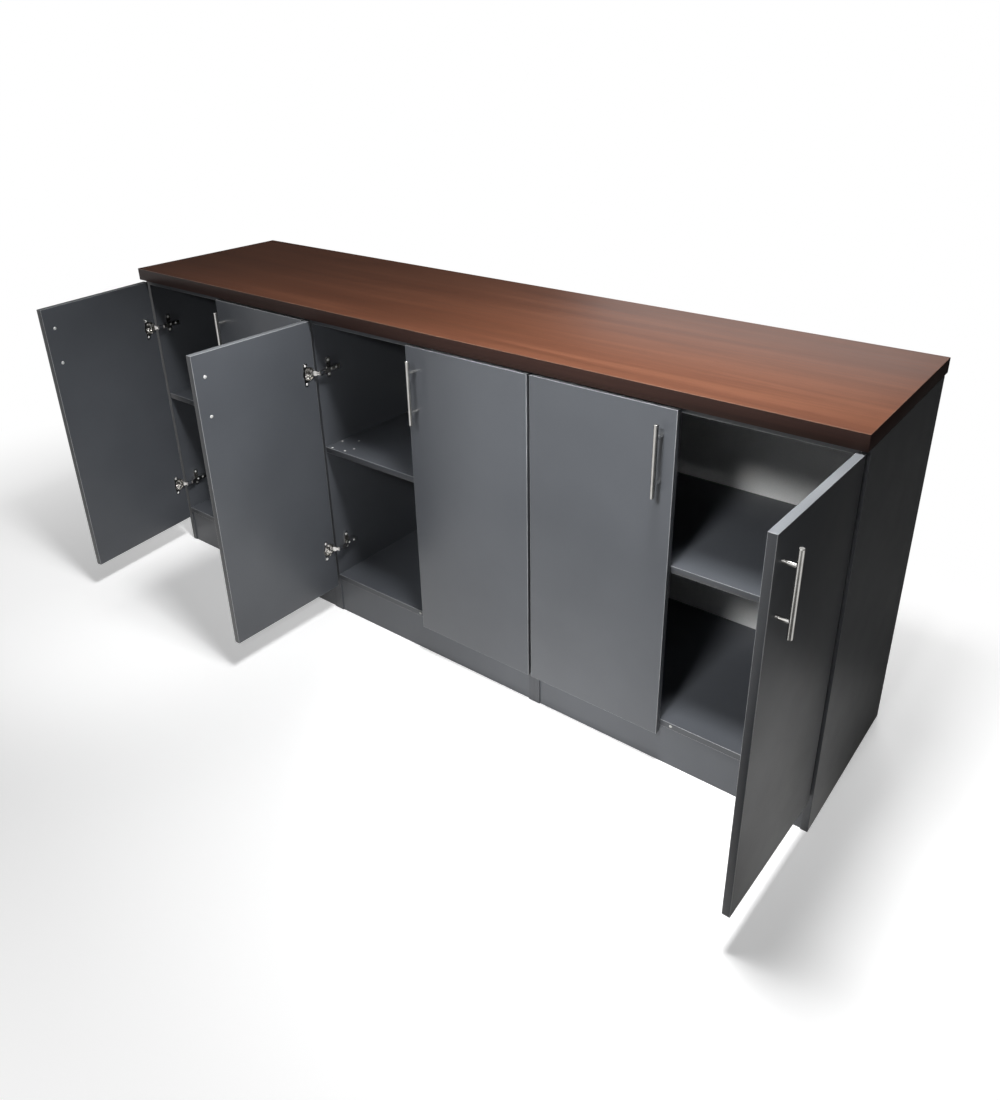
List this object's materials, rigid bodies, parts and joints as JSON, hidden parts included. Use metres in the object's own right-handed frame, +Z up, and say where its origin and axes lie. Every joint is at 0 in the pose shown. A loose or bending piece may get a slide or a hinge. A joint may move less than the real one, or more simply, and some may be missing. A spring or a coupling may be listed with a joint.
{
  "type": "office credenza",
  "caption": "Office credenza of three two-door base units under one wood-grain worktop, with six doors on concealed hinges.",
  "frame": {"origin": "on the floor, at the middle of the middle unit's plinth board", "axes": "+Z up, front towards -Y, +X to the right seen from the front"},
  "size_m": [2.1179, 0.8261, 0.9],
  "materials": {
    "carcass_melamine": "satin",
    "back_board": "matte",
    "worktop_laminate": "satin",
    "hinge_nickel": "polished",
    "handle_steel": "satin"
  },
  "bodies": {
    "carcass": {"worktop": "worktop_laminate", "unit_1_left_side": "carcass_melamine", "unit_1_right_side": "carcass_melamine", "unit_1_bottom": "carcass_melamine", "unit_1_top_panel": "carcass_melamine", "unit_1_plinth": "carcass_melamine", "unit_1_shelf": "carcass_melamine", "unit_1_back": "back_board", "unit_2_left_side": "carcass_melamine", "unit_2_right_side": "carcass_melamine", "unit_2_bottom": "carcass_melamine", "unit_2_top_panel": "carcass_melamine", "unit_2_plinth": "carcass_melamine", "unit_2_shelf": "carcass_melamine", "unit_2_back": "back_board", "unit_3_left_side": "carcass_melamine", "unit_3_right_side": "carcass_melamine", "unit_3_bottom": "carcass_melamine", "unit_3_top_panel": "carcass_melamine", "unit_3_plinth": "carcass_melamine", "unit_3_shelf": "carcass_melamine", "unit_3_back": "back_board", "door_1_upper_hinge_arm": "hinge_nickel", "door_1_lower_hinge_arm": "hinge_nickel", "door_2_upper_hinge_arm": "hinge_nickel", "door_2_lower_hinge_arm": "hinge_nickel", "door_3_upper_hinge_arm": "hinge_nickel", "door_3_lower_hinge_arm": "hinge_nickel", "door_4_upper_hinge_arm": "hinge_nickel", "door_4_lower_hinge_arm": "hinge_nickel", "door_5_upper_hinge_arm": "hinge_nickel", "door_5_lower_hinge_arm": "hinge_nickel", "door_6_upper_hinge_arm": "hinge_nickel", "door_6_lower_hinge_arm": "hinge_nickel"},
    "door_1": {"door_1": "carcass_melamine", "door_1_handle": "handle_steel"},
    "hinge_links_1": {"door_1_upper_hinge_link": "hinge_nickel", "door_1_lower_hinge_link": "hinge_nickel"},
    "door_2": {"door_2": "carcass_melamine", "door_2_handle": "handle_steel"},
    "hinge_links_2": {"door_2_upper_hinge_link": "hinge_nickel", "door_2_lower_hinge_link": "hinge_nickel"},
    "door_3": {"door_3": "carcass_melamine", "door_3_handle": "handle_steel"},
    "hinge_links_3": {"door_3_upper_hinge_link": "hinge_nickel", "door_3_lower_hinge_link": "hinge_nickel"},
    "door_4": {"door_4": "carcass_melamine", "door_4_handle": "handle_steel"},
    "hinge_links_4": {"door_4_upper_hinge_link": "hinge_nickel", "door_4_lower_hinge_link": "hinge_nickel"},
    "door_5": {"door_5": "carcass_melamine", "door_5_handle": "handle_steel"},
    "hinge_links_5": {"door_5_upper_hinge_link": "hinge_nickel", "door_5_lower_hinge_link": "hinge_nickel"},
    "door_6": {"door_6": "carcass_melamine", "door_6_handle": "handle_steel"},
    "hinge_links_6": {"door_6_upper_hinge_link": "hinge_nickel", "door_6_lower_hinge_link": "hinge_nickel"}
  },
  "joints": [
    {"name": "door_1_swing", "type": "hinge", "parent": "carcass", "child": "door_1", "pos_m": [-1.042, -0.0259, 0.475], "axis": [0, 0, -1], "range_deg": [-82.5, 12.5]},
    {"name": "door_1_links_turn", "type": "hinge", "parent": "carcass", "child": "hinge_links_1", "pos_m": [-1.012, -0.0215, 0.475], "axis": [0, 0, 1], "range_deg": [-43.4, 7]},
    {"name": "door_2_swing", "type": "hinge", "parent": "carcass", "child": "door_2", "pos_m": [-0.358, -0.0259, 0.475], "axis": [0, 0, 1], "range_deg": [0, 76]},
    {"name": "door_2_links_turn", "type": "hinge", "parent": "carcass", "child": "hinge_links_2", "pos_m": [-0.388, -0.0215, 0.475], "axis": [0, 0, -1], "range_deg": [-0.5, 40.02]},
    {"name": "door_3_swing", "type": "hinge", "parent": "carcass", "child": "door_3", "pos_m": [-0.342, -0.0259, 0.475], "axis": [0, 0, -1], "range_deg": [-90, 2]},
    {"name": "door_3_links_turn", "type": "hinge", "parent": "carcass", "child": "hinge_links_3", "pos_m": [-0.312, -0.0215, 0.475], "axis": [0, 0, 1], "range_deg": [-47.3, 1.54]},
    {"name": "door_4_swing", "type": "hinge", "parent": "carcass", "child": "door_4", "pos_m": [0.342, -0.0259, 0.475], "axis": [0, 0, 1], "range_deg": [0, 83]},
    {"name": "door_4_links_turn", "type": "hinge", "parent": "carcass", "child": "hinge_links_4", "pos_m": [0.312, -0.0215, 0.475], "axis": [0, 0, -1], "range_deg": [-0.5, 43.66]},
    {"name": "door_5_swing", "type": "hinge", "parent": "carcass", "child": "door_5", "pos_m": [0.358, -0.0259, 0.475], "axis": [0, 0, -1], "range_deg": [0, 83]},
    {"name": "door_5_links_turn", "type": "hinge", "parent": "carcass", "child": "hinge_links_5", "pos_m": [0.388, -0.0215, 0.475], "axis": [0, 0, 1], "range_deg": [-0.5, 43.66]},
    {"name": "door_6_swing", "type": "hinge", "parent": "carcass", "child": "door_6", "pos_m": [1.042, -0.0259, 0.475], "axis": [0, 0, 1], "range_deg": [-88.5, 6.5]},
    {"name": "door_6_links_turn", "type": "hinge", "parent": "carcass", "child": "hinge_links_6", "pos_m": [1.012, -0.0215, 0.475], "axis": [0, 0, -1], "range_deg": [-46.52, 3.88]}
  ],
  "couplings": [
    {"joint": "door_1_links_turn", "follows": "door_1_swing", "ratio": 0.52},
    {"joint": "door_2_links_turn", "follows": "door_2_swing", "ratio": 0.52},
    {"joint": "door_3_links_turn", "follows": "door_3_swing", "ratio": 0.52},
    {"joint": "door_4_links_turn", "follows": "door_4_swing", "ratio": 0.52},
    {"joint": "door_5_links_turn", "follows": "door_5_swing", "ratio": 0.52},
    {"joint": "door_6_links_turn", "follows": "door_6_swing", "ratio": 0.52}
  ]
}
